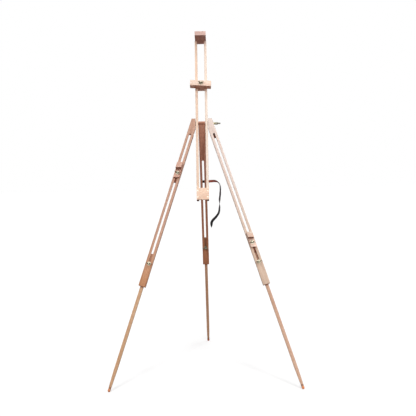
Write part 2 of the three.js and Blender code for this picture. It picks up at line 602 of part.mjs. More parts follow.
// ---------------------------------------------------------------- strap
// A straight strip along Z, bent so that it follows the route and turns its width on the way.
function strapGeometry() {
  const w = STRAP_WIDTH / 2;
  const t = STRAP_THICK / 2;
  const section = new THREE.Shape();
  section.moveTo(-w, -t);
  section.lineTo(w, -t);
  section.lineTo(w, t);
  section.lineTo(-w, t);
  section.closePath();
  const options = { depth: 1, steps: STRAP_STEPS, bevelEnabled: false };
  const strip = new THREE.ExtrudeGeometry(section, options);
  const route = new THREE.CatmullRomCurve3(STRAP_ROUTE.map(([x, y, z]) => new THREE.Vector3(x, y, z)));
  const turns = STRAP_ROUTE.map((point) => rad(point[3]));
  const position = strip.getAttribute('position');
  for (let i = 0; i < position.count; i += 1) {
    const along = position.getZ(i);
    const tangent = route.getTangent(along);
    const stretch = Math.min(Math.floor(along * (turns.length - 1)), turns.length - 2);
    const part = along * (turns.length - 1) - stretch;
    const turn = THREE.MathUtils.lerp(turns[stretch], turns[stretch + 1], part);
    const level = new THREE.Vector3(-tangent.z, 0, tangent.x).normalize();
    const width = level.multiplyScalar(Math.cos(turn)).add(new THREE.Vector3(0, Math.sin(turn), 0));
    const flat = new THREE.Vector3().crossVectors(tangent, width).normalize();
    width.crossVectors(flat, tangent);
    const point = route.getPoint(along);
    point.addScaledVector(width, position.getX(i)).addScaledVector(flat, position.getY(i));
    position.setXYZ(i, point.x, point.y, point.z);
  }
  return strip;
}

// The screw stands square to the leg's back, through the strap's flat end.
function buildStrap(stand) {
  const across = new THREE.Vector3(1, 0, 0);
  const back = new THREE.Vector3(0, 1, 0).applyAxisAngle(across, REAR_SWING);
  const seat = new THREE.Vector3(STRAP_SCREW_X, LEG_DEPTH / 2, -STRAP_DROP);
  seat.applyAxisAngle(across, REAR_SWING);
  const strap = groupAt(stand, seat.x, seat.y, seat.z);
  const headAt = back.multiplyScalar(STRAP_THICK + 2 * FIT);
  const hole = woodScrewHole(STRAP_SCREW).rotateX(REAR_SWING - QUARTER).translate(0, headAt.y, headAt.z);
  const screw = woodScrew(STRAP_SCREW).rotateX(REAR_SWING - QUARTER);
  place(strap, 'tie_strap', cut(strapGeometry(), hole), leather);
  place(strap, 'strap_screw', screw, zinc, 0, headAt.y, headAt.z);
}

function buildRearLeg(stand) {
  const turn = groupAt(stand, 0, 0, 0);
  turn.rotation.x = REAR_SWING;
  const leg = groupAt(turn, 0, -LEG_DEPTH / 2, 0);
  place(leg, 'rear_upper_leg', rearUpperLeg(), rearWood);
  buildLegParts(leg, 'rear', REAR_END, REAR_LOCK, REAR_REACH);
}

// ---------------------------------------------------------------- assembly
const easel = new THREE.Group();
const stand = groupAt(easel, 0, 0, HEAD_Z);
const head = groupAt(stand, 0, 0, 0);
head.rotation.x = -LEAN;
buildMast(head);
buildClamp(head);
buildHead(head);
buildFrontLeg(head, 'left', -1, PEG_LEFT_TOP);
buildFrontLeg(head, 'right', 1, PEG_RIGHT_TOP);
buildRearLeg(stand);
buildStrap(stand);

const room = new THREE.Box3().setFromObject(easel, true);
stand.position.y = -(room.min.y + room.max.y) / 2;

export default easel;
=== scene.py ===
# A folding beech field easel as it stands ready for a canvas: a slotted mast, two splayed front
# legs and a rear leg on one head bolt, with wing nuts, canvas pegs and a leather tying strap.
import json
import math

import bmesh
import bpy
from mathutils import Matrix, Vector


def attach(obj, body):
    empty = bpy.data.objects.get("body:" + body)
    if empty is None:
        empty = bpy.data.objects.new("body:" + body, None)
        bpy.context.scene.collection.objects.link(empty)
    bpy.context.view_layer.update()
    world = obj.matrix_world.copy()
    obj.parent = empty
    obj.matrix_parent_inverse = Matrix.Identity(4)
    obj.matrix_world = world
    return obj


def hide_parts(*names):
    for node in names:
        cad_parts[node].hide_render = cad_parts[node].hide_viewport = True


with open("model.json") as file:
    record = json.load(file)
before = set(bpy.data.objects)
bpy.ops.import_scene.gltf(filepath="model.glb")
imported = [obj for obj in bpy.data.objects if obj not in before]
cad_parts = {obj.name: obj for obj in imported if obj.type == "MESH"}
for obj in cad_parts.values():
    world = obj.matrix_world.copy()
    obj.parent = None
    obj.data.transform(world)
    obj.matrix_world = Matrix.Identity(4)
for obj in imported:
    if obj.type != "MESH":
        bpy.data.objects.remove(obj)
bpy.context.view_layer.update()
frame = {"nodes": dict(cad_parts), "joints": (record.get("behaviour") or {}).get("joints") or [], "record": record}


# ---------------------------------------------------------------- camera
# It stands 3.6 m in front of the head, a little to the right of the easel and below its head,
# and looks slightly down. It is rolled a degree, because the easel is not quite plumb to it.
MM = 0.001
joints = {joint["name"]: joint for joint in frame["joints"]}
head_axis = Vector(joints["mast_tilt"]["pos_m"])

CAMERA_FROM_HEAD = Vector((72.6, -3616.6, -248.3)) * MM
CAMERA_YAW = math.radians(1.155)
CAMERA_PITCH = math.radians(-2.793)
CAMERA_ROLL = math.radians(-1.213)
CAMERA_LENS = 61.9  # millimetres, as is the film's width
CAMERA_FILM = 36
CAMERA_SHIFT = 0.0108

camera_data = bpy.data.cameras.new("camera")
camera_data.lens = CAMERA_LENS
camera_data.sensor_width = CAMERA_FILM
camera_data.shift_x = CAMERA_SHIFT
camera = bpy.data.objects.new("camera", camera_data)
turn = Matrix.Rotation(CAMERA_YAW, 4, "Z")
turn = turn @ Matrix.Rotation(math.radians(90) + CAMERA_PITCH, 4, "X")
turn = turn @ Matrix.Rotation(CAMERA_ROLL, 4, "Z")
camera.matrix_world = Matrix.Translation(head_axis + CAMERA_FROM_HEAD) @ turn
scene = bpy.context.scene
scene.collection.objects.link(camera)
scene.camera = camera
scene.view_settings.view_transform = "Standard"


# ---------------------------------------------------------------- tying strap
# A flat strap of leather, dyed black on its grain side and left maroon on its flesh side. One
# wood screw holds its end behind the rear leg, and it twists over as it hangs down on the right.
def linear(colour):
    """A colour's sRGB hex text as linear red, green, blue and alpha."""
    parts = [int(colour[i : i + 2], 16) / 255 for i in (1, 3, 5)]
    return [p / 12.92 if p <= 0.04045 else ((p + 0.055) / 1.055) ** 2.4 for p in parts] + [1]


def add(tree, kind, inputs=(), stops=(), **settings):
    """Adds one shader node. A node's output among the inputs is linked and a value is set; stops
    are a ramp's places and hex colours."""
    made = tree.nodes.new("ShaderNode" + kind)
    for name, value in settings.items():
        setattr(made, name, value)
    for _ in stops[2:]:
        made.color_ramp.elements.new(1)
    for i, (place, colour) in enumerate(stops):
        made.color_ramp.elements[i].position = place
        made.color_ramp.elements[i].color = linear(colour)
    for socket, value in dict(inputs).items():
        if isinstance(value, bpy.types.NodeSocket):
            tree.links.new(value, made.inputs[socket])
        else:
            made.inputs[socket].default_value = value
    return made


def new_material(name):
    material = bpy.data.materials.new(name)
    material.use_nodes = True
    material.node_tree.nodes.clear()
    return material


def leather(name, dark, pale, roughness):
    """Full-grain or suede leather: fine pores a millimetre apart, with worn, paler patches."""
    material = new_material(name)
    tree = material.node_tree
    place = add(tree, "TexCoord").outputs["Object"]
    pores = add(tree, "TexVoronoi", {"Vector": place, "Scale": 1 / (1.1 * MM)})
    wear = add(tree, "TexNoise", {"Vector": place, "Scale": 1 / (28 * MM), "Detail": 4})
    colour = add(tree, "ValToRGB", {"Fac": wear.outputs["Fac"]}, [(0.35, dark), (0.75, pale)])
    relief = add(tree, "Bump", {"Strength": 0.35, "Distance": 0.2 * MM,
                                "Height": pores.outputs["Distance"]})
    gloss = add(tree, "MapRange", {"Value": wear.outputs["Fac"], "To Min": roughness - 0.08,
                                   "To Max": roughness + 0.1})
    shader = add(tree, "BsdfPrincipled", {
        "Base Color": colour.outputs["Color"], "Roughness": gloss.outputs["Result"], "IOR": 1.5,
        "Specular IOR Level": 0.25, "Normal": relief.outputs["Normal"]})
    add(tree, "OutputMaterial", {"Surface": shader.outputs["BSDF"]})
    return material


def centripetal(points, along):
    """A point on the smooth curve through the points, along running from 0 to 1."""
    spot = along * (len(points) - 1)
    first = min(int(spot), len(points) - 2)
    b, c = points[first], points[first + 1]
    a = points[first - 1] if first > 0 else 2 * b - c
    d = points[first + 2] if first + 2 < len(points) else 2 * c - b
    ab, bc, cd = (math.sqrt((q - p).length) for p, q in ((a, b), (b, c), (c, d)))
    start = ((b - a) / ab - (c - a) / (ab + bc) + (c - b) / bc) * bc
    end = ((c - b) / bc - (d - b) / (bc + cd) + (d - c) / cd) * bc
    t = spot - first
    return (b * (2 * t**3 - 3 * t**2 + 1) + start * (t**3 - 2 * t**2 + t)
            + c * (3 * t**2 - 2 * t**3) + end * (t**3 - t**2))


ACROSS = Vector((1, 0, 0))
BACK = Vector((0, 1, 0))
STRAP_WIDTH = 15 * MM
STRAP_THICK = 2.2 * MM
STRAP_POINT = 20 * MM  # the free end is cut to a blunt point over this length
STRAP_BLUNT = 0.12  # this share of its width is left at the point
STRAP_FOLDED = 21 * MM  # up to here from the screw the flesh side is coloured black as well
STRAP_MAROON = 95 * MM  # from the screw; beyond this the flesh side is grimy from handling
STRAP_RINGS = 150
GRAIN_SIDE, FLESH_SIDE, CUT_EDGE = range(3)  # the strap's three finishes
FLESH_FLAT = (2, 3)  # the sides of its section that lie flat on the flesh side
GRAIN_FLAT = (8, 9)
STRAP_SCREW_ACROSS = -12.55 * MM  # from the middle of the rear leg
STRAP_SCREW_DROP = 334 * MM  # down the rear leg from the head bolt
LEG_DEPTH = 24 * MM
# Its middle line from the screw, right, back and up in millimetres, and the turn of its width
# about that line: at 0 its flesh side faces forwards, at -90 its edge and at -180 its grain side.
STRAP_ROUTE = [
    (-5, 1.4, 0.7, -26.5),
    (12, 1.4, 0.7, -26.5),
    (30, 1.4, 0.7, -26.5),
    (52, 3, 2, -29),
    (72, 4, 2, -40),
    (88, 5, -4, -76),
    (97, 6, -16, -82),
    (100, 7, -32, -68),
    (99, 7, -62, -56),
    (95, 7, -98, -54),
    (94, 7, -135, -122),
    (89, 7, -166, -136),
    (73, 7, -189, -150),
    (60, 7, -202, -158),
    (51, 7, -215, -162),
    (49, 7, -244, -165),
]


def strap_frame(points, turns, along):
    """The strap's middle, the direction of its width and the direction of its thickness."""
    step = 1e-4
    before, after = max(along - step, 0), min(along + step, 1)
    ahead = (centripetal(points, after) - centripetal(points, before)).normalized()
    spot = along * (len(turns) - 1)
    first = min(int(spot), len(turns) - 2)
    turn = math.radians(turns[first] + (turns[first + 1] - turns[first]) * (spot - first))
    level = Vector((-ahead.z, 0, ahead.x)).normalized()
    width = level * math.cos(turn) + BACK * math.sin(turn)
    flat = ahead.cross(width).normalized()
    return centripetal(points, along), flat.cross(ahead), flat


def strap_mesh(seat):
    """Rings of a flat section with rounded edges, narrowed to a point at the free end. Also gives
    the middle line and its length."""
    points = [seat + Vector(row[:3]) * MM for row in STRAP_ROUTE]
    turns = [row[3] for row in STRAP_ROUTE]
    wide, thick = STRAP_WIDTH / 2, STRAP_THICK / 2
    soft = thick * 0.8
    section = [(wide, 0), (wide - soft * 0.3, thick * 0.7), (wide - soft, thick), (0, thick),
               (soft - wide, thick), (soft * 0.3 - wide, thick * 0.7)]
    section += [(-x, -y) for x, y in section]
    rings = [strap_frame(points, turns, i / STRAP_RINGS) for i in range(STRAP_RINGS + 1)]
    path = [middle for middle, width, flat in rings]
    lengths = [0]
    for p, q in zip(path, path[1:]):
        lengths.append(lengths[-1] + (q - p).length)
    mesh = bmesh.new()
    loops = []
    for (middle, width, flat), far in zip(rings, lengths):
        left = lengths[-1] - far
        narrow = max(STRAP_BLUNT, min(1, left / STRAP_POINT) ** 0.6)
        loops.append([mesh.verts.new(middle + width * x * narrow + flat * y) for x, y in section])
    count = len(section)
    for one, two, far in zip(loops, loops[1:], lengths):
        for k in range(count):
            face = mesh.faces.new((one[k], one[(k + 1) % count], two[(k + 1) % count], two[k]))
            if k in FLESH_FLAT and far < STRAP_MAROON:
                face.material_index = GRAIN_SIDE if far < STRAP_FOLDED else FLESH_SIDE
            else:
                face.material_index = GRAIN_SIDE if k in GRAIN_FLAT else CUT_EDGE
            face.smooth = True
    for loop in (list(reversed(loops[0])), loops[-1]):
        mesh.faces.new(loop).material_index = CUT_EDGE
    return mesh, path, lengths[-1]


def into_object(mesh, name, materials):
    data = bpy.data.meshes.new(name)
    mesh.to_mesh(data)
    mesh.free()
    for material in materials:
        data.materials.append(material)
    made = bpy.data.objects.new(name, data)
    scene.collection.objects.link(made)
    return made


rear_up = -Vector(joints["rear_lower_slide"]["axis"])
rear_back = rear_up.cross(ACROSS)
strap_seat = (head_axis + ACROSS * STRAP_SCREW_ACROSS + rear_back * LEG_DEPTH / 2
              - rear_up * STRAP_SCREW_DROP)
strap_bmesh, strap_path, strap_length = strap_mesh(strap_seat)
strap = into_object(strap_bmesh, "leather_strap", [
    leather("leather grain side", "#0c0b0d", "#242024", 0.42),
    leather("leather flesh side", "#a15549", "#d97e69", 0.7),
    leather("leather cut edge", "#332a30", "#5a5058", 0.6),
])
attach(strap, "rear_leg")
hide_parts("tie_strap")


# ---------------------------------------------------------------- floor and light
# A sheet of white paper under two soft lights in front, one high and one low, and a weak one on
# each side. The floor gives dim, warm light back to the wood, and keeps the legs' faint shadows.
FLOOR_HALF = 40
FLOOR_WHITE = "#c7c7c7"
FLOOR_SEEN_BY_WOOD = "#5c2e1d"
FLOOR_LIFT = 0.455  # a glow that only the camera sees, which brings the paper up to white
WORLD_LIGHT = 0.28  # what the white world around gives to the easel
# Each light's name, the way towards it, its strength and its spread in degrees.
LIGHTS = (
    ("high front light", (0.05, -0.37, 0.93), 0.8, 8),
    ("low front light", (0.05, -0.866, 0.5), 2.1, 40),
    ("left light", (-0.8, 0.45, 0.35), 1.0, 50),
    ("right light", (0.8, 0.45, 0.35), 0.9, 50),
)


def seen_rays(tree):
    """1 where the camera looks, directly, by a reflection or through glass, and 0 for the light
    that a surface gives to others."""
    rays = add(tree, "LightPath")
    seen = add(tree, "Math", {0: rays.outputs["Is Camera Ray"], 1: rays.outputs["Is Glossy Ray"]},
               operation="MAXIMUM")
    seen = add(tree, "Math", {0: seen.outputs[0], 1: rays.outputs["Is Transmission Ray"]},
               operation="MAXIMUM")
    return seen.outputs[0]


floor_mesh = bmesh.new()
corners = [(-1, -1), (1, -1), (1, 1), (-1, 1)]
floor_mesh.faces.new([floor_mesh.verts.new((x * FLOOR_HALF, y * FLOOR_HALF, 0)) for x, y in corners])
paper = new_material("white paper sweep")
tree = paper.node_tree
seen = seen_rays(tree)
toned = add(tree, "MixRGB", {"Fac": seen, "Color1": linear(FLOOR_SEEN_BY_WOOD),
                             "Color2": linear(FLOOR_WHITE)})
matt = add(tree, "BsdfDiffuse", {"Color": toned.outputs["Color"]})
lift = add(tree, "Math", {0: seen, 1: FLOOR_LIFT}, operation="MULTIPLY")
glow = add(tree, "Emission", {"Color": linear("#ffffff"), "Strength": lift.outputs[0]})
both = add(tree, "AddShader", {0: matt.outputs[0], 1: glow.outputs[0]})
add(tree, "OutputMaterial", {"Surface": both.outputs[0]})
floor = into_object(floor_mesh, "floor", [paper])

world = bpy.data.worlds.new("studio")
world.use_nodes = True
scene.world = world
tree = world.node_tree
tree.nodes.clear()
level = add(tree, "MapRange", {"Value": seen_rays(tree), "To Min": WORLD_LIGHT, "To Max": 1.0})
sky = add(tree, "Background", {"Color": linear("#ffffff"), "Strength": level.outputs["Result"]})
add(tree, "OutputWorld", {"Surface": sky.outputs[0]})

for name, towards, strength, spread in LIGHTS:
    data = bpy.data.lights.new(name, "SUN")
    data.energy = strength
    data.angle = math.radians(spread)
    lamp = bpy.data.objects.new(name, data)
    lamp.rotation_euler = Vector(towards).to_track_quat("Z", "Y").to_euler()
    scene.collection.objects.link(lamp)


# ---------------------------------------------------------------- mast
# Two planed beech rails with an open gap, tied at the top by a screwed cap and at the foot by a
# board. The wood is steamed beech under thin oil: straight grain with short dark flecks.
TOUCHING = 0.01 * MM  # points nearer than this are one
FLAT_ENOUGH = math.radians(1)  # faces that bend less than this are one
SANDED_ANGLE = math.radians(30)  # edges that bend more than this are sanded round
RAIL_EDGE = 0.8 * MM
BLOCK_EDGE = 1.4 * MM
bodies = frame["record"]["behaviour"]["bodies"]
body_with = {node: body for body, nodes in bodies.items() for node in nodes}


def stands_for(piece, node):
    """The piece takes the place of a solid: it joins the solid's body, and the solid is hidden."""
    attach(piece, body_with[node])
    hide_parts(node)


def rounded(node, width, material):
    """A solid's own shape with its edges sanded round."""
    data = frame["nodes"][node].data.copy()
    data.materials.clear()
    data.materials.append(material)
    mesh = bmesh.new()
    mesh.from_mesh(data)
    bmesh.ops.remove_doubles(mesh, verts=mesh.verts, dist=TOUCHING)
    bmesh.ops.dissolve_limit(mesh, angle_limit=FLAT_ENOUGH, verts=mesh.verts, edges=mesh.edges)
    for face in mesh.faces:
        face.smooth = True
        face.material_index = 0
    mesh.to_mesh(data)
    mesh.free()
    piece = bpy.data.objects.new(node + "_sanded", data)
    scene.collection.objects.link(piece)
    edge = piece.modifiers.new("sanded edges", "BEVEL")
    edge.width = width
    edge.segments = 2
    edge.limit_method = "ANGLE"
    edge.angle_limit = SANDED_ANGLE
    edge.harden_normals = True
    stands_for(piece, node)
    return piece


def painted(piece, material, chosen):
    """Gives a material of their own to the faces that are chosen by their middle and normal."""
    piece.data.materials.append(material)
    for polygon in piece.data.polygons:
        if chosen(polygon.center, polygon.normal):
            polygon.material_index = len(piece.data.materials) - 1


def beech(name, grain, deep, mid, pale, fleck, roughness=0.5, tint=None):
    """Planed beech. Growth rings show as soft bands some 9 mm apart, fibres as fine streaks, and
    the rays as short dark flecks, drawn a little coarse so that they show from 3 m away. A tint
    is a colour laid over the wood, full at its first height and gone at its second."""
    material = new_material(name)
    tree = material.node_tree
    place = add(tree, "TexCoord").outputs["Object"]
    tilt = Vector(grain).rotation_difference(Vector((0, 0, 1))).to_euler()
    along = add(tree, "Mapping", {"Vector": place, "Rotation": tilt}).outputs["Vector"]

    def streaks(across, length, detail, warp=0):
        stretched = add(tree, "Mapping", {
            "Vector": along, "Scale": (1 / across, 1 / across, 1 / length)}).outputs["Vector"]
        return add(tree, "TexNoise", {"Vector": stretched, "Scale": 1.0, "Detail": detail,
                                      "Distortion": warp}).outputs["Fac"]

    bands = streaks(9 * MM, 320 * MM, 2, 0.6)
    fibres = streaks(1.3 * MM, 60 * MM, 3)
    rays = streaks(0.9 * MM, 5 * MM, 1)
    patches = streaks(60 * MM, 260 * MM, 1)
    mottle = streaks(4.5 * MM, 13 * MM, 2)
    mixed = add(tree, "MixRGB", {"Fac": 0.38, "Color1": bands, "Color2": fibres})
    mixed = add(tree, "MixRGB", {"Fac": 0.3, "Color1": mixed.outputs["Color"], "Color2": patches})
    mixed = add(tree, "MixRGB", {"Fac": 0.35, "Color1": mixed.outputs["Color"], "Color2": mottle})
    wood = add(tree, "ValToRGB", {"Fac": mixed.outputs["Color"]},
               [(0.34, deep), (0.5, mid), (0.66, pale)])
    dots = add(tree, "MapRange", {"Value": rays, "From Min": 0.6, "From Max": 0.7, "To Max": 0.5})
    colour = add(tree, "MixRGB", {"Fac": dots.outputs["Result"], "Color1": wood.outputs["Color"],
                                  "Color2": linear(fleck)})
    if tint:
        full, gone, over = tint
        height = add(tree, "SeparateXYZ", {"Vector": place}).outputs["Z"]
        share = add(tree, "MapRange", {"Value": height, "From Min": gone, "From Max": full})
        colour = add(tree, "MixRGB", {
            "Fac": share.outputs["Result"], "Color1": colour.outputs["Color"],
            "Color2": linear(over)}, blend_type="MULTIPLY")
    raised = add(tree, "MixRGB", {"Fac": 0.5, "Color1": fibres, "Color2": rays})
    relief = add(tree, "Bump", {"Strength": 0.25, "Distance": 0.12 * MM,
                                "Height": raised.outputs["Color"]})
    gloss = add(tree, "MapRange", {"Value": bands, "To Min": roughness - 0.06,
                                   "To Max": roughness + 0.1})
    shader = add(tree, "BsdfPrincipled", {
        "Base Color": colour.outputs["Color"], "Roughness": gloss.outputs["Result"], "IOR": 1.46,
        "Specular IOR Level": 0.2, "Normal": relief.outputs["Normal"]})
    add(tree, "OutputMaterial", {"Surface": shader.outputs["BSDF"]})
    return material


mast_up = Vector(joints["mast_slide"]["axis"])
mast_forward = -mast_up.cross(ACROSS)
mast_back = -mast_forward


def downward_end_shade(middle, normal):
    """The mast's sawn lower ends, which face down and get a darker colour as painted shade."""
    return normal.dot(mast_up) < -0.9


pale_beech = beech("pale beech rails", mast_up, "#e3c4ad", "#f7e6d6", "#fffcf4", "#d0a689")
rosy_beech = beech("rosy beech rail", mast_up, "#ddb096", "#efd1b9", "#f8e6d2", "#c39073")
board_beech = beech("pale beech board", ACROSS, "#e1b499", "#f0cfb6", "#f8e4d1", "#c99578")
cap_beech = beech("pink beech cap", mast_forward, "#c59b8d", "#d8b6ab", "#e4cbc5", "#aa7c69")
# The sawn ends that face down get this darker colour as painted shade.
end_grain_painted_shade = beech("beech end grain, painted shade", mast_up, "#704e3d", "#855f4e", "#98725e", "#5e3f31", 0.65)
painted(rounded("mast_rail_left", RAIL_EDGE, rosy_beech), end_grain_painted_shade, downward_end_shade)
painted(rounded("mast_rail_right", RAIL_EDGE, pale_beech), end_grain_painted_shade, downward_end_shade)
painted(rounded("mast_bottom_board", RAIL_EDGE, board_beech), end_grain_painted_shade, downward_end_shade)
rounded("mast_top_cap", BLOCK_EDGE, cap_beech)


# ---------------------------------------------------------------- sliding clamp
# A beech bar that grips the canvas's top edge, and a beech guide behind the rails with a tongue
# between them. One bolt draws the two together, and the bar hangs a little askew on it.
clamp_beech = beech("pale beech clamp", ACROSS, "#e6bfa6", "#f8deca", "#fff5e9", "#d19f84")
rounded("clamp_bar", BLOCK_EDGE, clamp_beech)
rounded("clamp_guide", BLOCK_EDGE, clamp_beech)


# ---------------------------------------------------------------- head
# Two sawn beech cheeks that the front legs lie over. A disc of pressed fibre between each cheek
# and its rail lets the mast tilt and still be clamped.
WASHER_EDGE = 0.25 * MM
TILT_WASHER = (11 * MM, 4.3 * MM)  # outer and inner radius, as for every washer below
TURNED_STEPS = 36
TURNED_ANGLE = math.radians(35)  # edges that bend more than this stay crisp


def turned(name, profile, material, ring=False):
    """A closed solid turned about +Z from (radius, height) points; a ring's last meets its first."""
    mesh = bmesh.new()
    loops = []
    for radius, height in profile:
        steps = TURNED_STEPS if radius > 0 else 1
        angles = [math.tau * i / TURNED_STEPS for i in range(steps)]
        loops.append([mesh.verts.new((radius * math.cos(a), radius * math.sin(a), height))
                      for a in angles])
    pairs = list(zip(loops, loops[1:]))
    if ring:
        pairs.append((loops[-1], loops[0]))
    for one, two in pairs:
        for i in range(TURNED_STEPS):
            j = (i + 1) % TURNED_STEPS
            corners = [one[i % len(one)], one[j % len(one)], two[j % len(two)], two[i % len(two)]]
            mesh.faces.new(list(dict.fromkeys(corners)))
    bmesh.ops.recalc_face_normals(mesh, faces=mesh.faces)
    for face in mesh.faces:
        face.smooth = True
    for edge in mesh.edges:
        edge.smooth = edge.calc_face_angle() < TURNED_ANGLE
    return into_object(mesh, name, [material])


def reach_along(node, direction):
    """How far a solid reaches along a direction, from its lowest to its highest point."""
    places = [vertex.co.dot(direction) for vertex in frame["nodes"][node].data.vertices]
    return min(places), max(places)


def seated(piece, node, axis):
    """Stands a piece where its solid is: +Z along the axis, +X towards the solid's widest point."""
    side = axis.orthogonal().normalized()
    other = axis.cross(side)
    middle = side * sum(reach_along(node, side)) / 2 + other * sum(reach_along(node, other)) / 2
    spread = [vertex.co - axis * vertex.co.dot(axis) - middle
              for vertex in frame["nodes"][node].data.vertices]
    widest = max(spread, key=lambda spot: spot.length).normalized()
    turn = Matrix((widest, axis.cross(widest), axis)).transposed().to_4x4()
    piece.matrix_world = Matrix.Translation(middle + axis * reach_along(node, axis)[0]) @ turn
    stands_for(piece, node)


def washer(node, axis, outer, inner, material):
    """A punched disc, its rim and its hole slightly rounded."""
    low, high = reach_along(node, axis)
    top, edge = high - low, WASHER_EDGE
    profile = [(inner + edge, 0), (outer - edge, 0), (outer, edge), (outer, top - edge),
               (outer - edge, top), (inner + edge, top), (inner, top - edge), (inner, edge)]
    seated(turned(node + "_punched", profile, material, ring=True), node, axis)


def pressed_fibre(name, dark, pale):
    """Vulcanised fibre: pressed flat, dull, with a faint felted mottle 2 mm across."""
    material = new_material(name)
    tree = material.node_tree
    place = add(tree, "TexCoord").outputs["Object"]
    felt = add(tree, "TexNoise", {"Vector": place, "Scale": 1 / (2 * MM), "Detail": 5})
    colour = add(tree, "ValToRGB", {"Fac": felt.outputs["Fac"]}, [(0.35, dark), (0.7, pale)])
    relief = add(tree, "Bump", {"Strength": 0.3, "Distance": 0.1 * MM,
                                "Height": felt.outputs["Fac"]})
    shader = add(tree, "BsdfPrincipled", {
        "Base Color": colour.outputs["Color"], "Roughness": 0.8, "IOR": 1.5,
        "Normal": relief.outputs["Normal"]})
    add(tree, "OutputMaterial", {"Surface": shader.outputs["BSDF"]})
    return material


brown_beech = beech("brown beech cheeks", mast_up, "#7d4c38", "#96644f", "#ab7a62", "#6a3d2c")
dark_fibre = pressed_fibre("pressed fibre", "#3a322c", "#574b42")
for side in ("left", "right"):
    rounded("cheek_" + side, RAIL_EDGE, brown_beech)
    washer("tilt_washer_" + side, ACROSS, *TILT_WASHER, dark_fibre)


# ---------------------------------------------------------------- front legs
# Each upper leg is a slotted beech bar, grooved behind for the square lower leg that slides in it,
# with a strip that closes the groove's lower end. The slot's walls are coloured darker as painted
# shade on the right leg, and paler as painted light on the left leg.
LEG_SKIN = 2 * MM  # a face whose middle is nearer than this to a leg's sides is planed
LEG_END = 15 * MM  # and so is one nearer than this to its ends; the rest, the slot's walls, carry painted light and shade
FOOT_TAPER = 24 * MM  # up to here the solid has a taper of its own
FOOT_PLANED = 80 * MM  # up to here the leg is planed narrower
FOOT_WAIST = 0.84  # this share of its width is left at the top of the taper
FOOT_CUTS = (FOOT_PLANED, FOOT_PLANED * 0.66, FOOT_TAPER)
HEAD_SHADED = 170 * MM  # the painted shade reaches down to 6 mm below the upper leg's end


def painted_slot_walls(piece, up, back, material):
    """Gives the walls of a leg's slot and groove a material of their own, which holds painted shade, and on the
    left leg painted light.
    """
    reaches = []
    for way, skin in ((up.cross(back), LEG_SKIN), (back, LEG_SKIN), (up, LEG_END)):
        places = [vertex.co.dot(way) for vertex in piece.data.vertices]
        reaches.append((way, min(places) + skin, max(places) - skin))
    painted(piece, material, lambda middle, normal: all(
        low < middle.dot(way) < high for way, low, high in reaches))


def cut_across(mesh, up, height):
    """Adds a loop of edges round a leg at a height, and leaves it whole."""
    everything = mesh.verts[:] + mesh.edges[:] + mesh.faces[:]
    bmesh.ops.bisect_plane(mesh, geom=everything, dist=TOUCHING, plane_no=up,
                           plane_co=up * height)


def planed_foot(piece, up):
    """Narrows the last of a lower leg, down to a waist at the top of its tapered end."""
    mesh = bmesh.new()
    mesh.from_mesh(piece.data)
    low = min(vert.co.dot(up) for vert in mesh.verts)
    for height in FOOT_CUTS:
        cut_across(mesh, up, low + height)
    near = [vert.co for vert in mesh.verts if vert.co.dot(up) < low + FOOT_PLANED]
    middle = sum(near, Vector()) / len(near)
    for vert in mesh.verts:
        height = vert.co.dot(up) - low
        if height < FOOT_PLANED:
            fall = (FOOT_PLANED - max(height, FOOT_TAPER)) / (FOOT_PLANED - FOOT_TAPER)
            rise = max(0, FOOT_TAPER - height) / FOOT_TAPER
            off_axis = (vert.co - middle) - up * (vert.co - middle).dot(up)
            vert.co -= off_axis * (1 - FOOT_WAIST) * fall * (1 - rise)
    mesh.to_mesh(piece.data)
    mesh.free()


def shaded_head(piece, up, material):
    """The top of a lower leg, in the groove as the easel stands and down to just below the upper leg's end, is
    darkened as painted shade.
    """
    mesh = bmesh.new()
    mesh.from_mesh(piece.data)
    start = max(vert.co.dot(up) for vert in mesh.verts) - HEAD_SHADED
    cut_across(mesh, up, start)
    mesh.to_mesh(piece.data)
    mesh.free()
    painted(piece, material, lambda middle, normal: middle.dot(up) > start)


leg_up = {side: -Vector(joints[side + "_lower_slide"]["axis"]) for side in ("left", "right")}
# The slot walls: darker on the right leg as painted shade, paler on the left leg as painted light.
slot_painted_light_and_shade = {
    "left": beech("slot walls, painted light", leg_up["left"], "#dcbaa5", "#efd4c2", "#f8e4d6", "#bf9077", 0.65),
    "right": beech("slot walls, painted shade", leg_up["right"], "#63392a", "#7d4b38", "#915e48", "#4c2a20",
                   0.65),
}
# The heads of the lower legs are darker as painted shade, in the groove and just below it.
head_painted_shade = beech("lower leg heads, painted shade", mast_up, "#895c45", "#a2745b", "#b98c73", "#6f4935")
upper_beech = {
    "left": beech("tan beech upper leg", leg_up["left"], "#b1836b", "#c69d87", "#d6b6a3",
                  "#956249", tint=(0.5, 0.74, "#f5ddbc")),
    "right": beech("white beech upper leg", leg_up["right"], "#ddc2b2", "#ebdad0", "#f4e8e0",
                   "#c9a28c", tint=(0.62, 1.05, "#e6dacb")),
}
lower_beech = {
    "left": beech("tan beech lower left leg", leg_up["left"], "#af8260", "#c39c78", "#d2af90",
                  "#916446"),
    "right": beech("tan beech lower right leg", leg_up["right"], "#b88e78", "#cfa990", "#dfc1ab",
                   "#9b6e56"),
}
# Brown for the back strips; the same colour is painted shade on the rear leg's round top.
strip_beech_and_painted_shade = beech("brown beech strips, and painted shade", ACROSS, "#7d4c38", "#96644f", "#ab7a62", "#6a3d2c")
for side, up in leg_up.items():
    upper = rounded(side + "_upper_leg", RAIL_EDGE, upper_beech[side])
    painted_slot_walls(upper, up, mast_back, slot_painted_light_and_shade[side])
    lower = rounded(side + "_lower_leg", RAIL_EDGE, lower_beech[side])
    planed_foot(lower, up)
    shaded_head(lower, up, head_painted_shade)
    rounded(side + "_back_strip", RAIL_EDGE, strip_beech_and_painted_shade)


